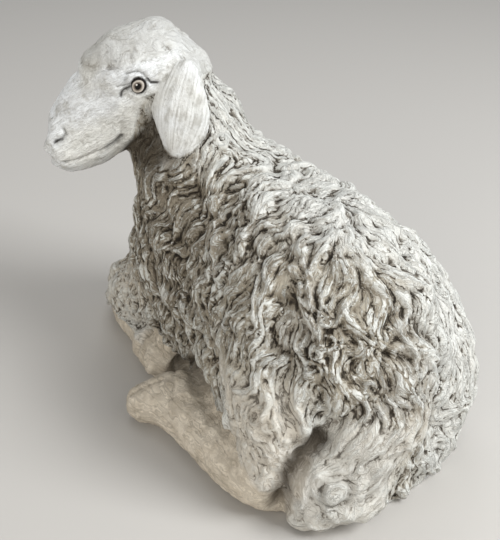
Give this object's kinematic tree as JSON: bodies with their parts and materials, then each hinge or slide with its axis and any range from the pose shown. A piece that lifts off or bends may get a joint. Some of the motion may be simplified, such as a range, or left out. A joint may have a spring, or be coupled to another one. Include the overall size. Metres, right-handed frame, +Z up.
{
  "type": "sheep garden statue",
  "caption": "Reclining sheep in cast stone, head turned to its left over folded legs, with a fleece of carved locks, hanging ears and a flat underside.",
  "frame": {"origin": "on the flat underside, below the middle of the figure's bounds", "axes": "+Z up, the chest faces -Y, the sheep's left side is +X, and the head is turned towards +X"},
  "size_m": [0.1982, 0.3102, 0.2439],
  "materials": {
    "cast_stone": "matt cast stone, pale grey with a darker wash in the carving and a painted eye"
  },
  "bodies": {
    "root": {"sheep": "cast_stone"}
  },
  "joints": []
}
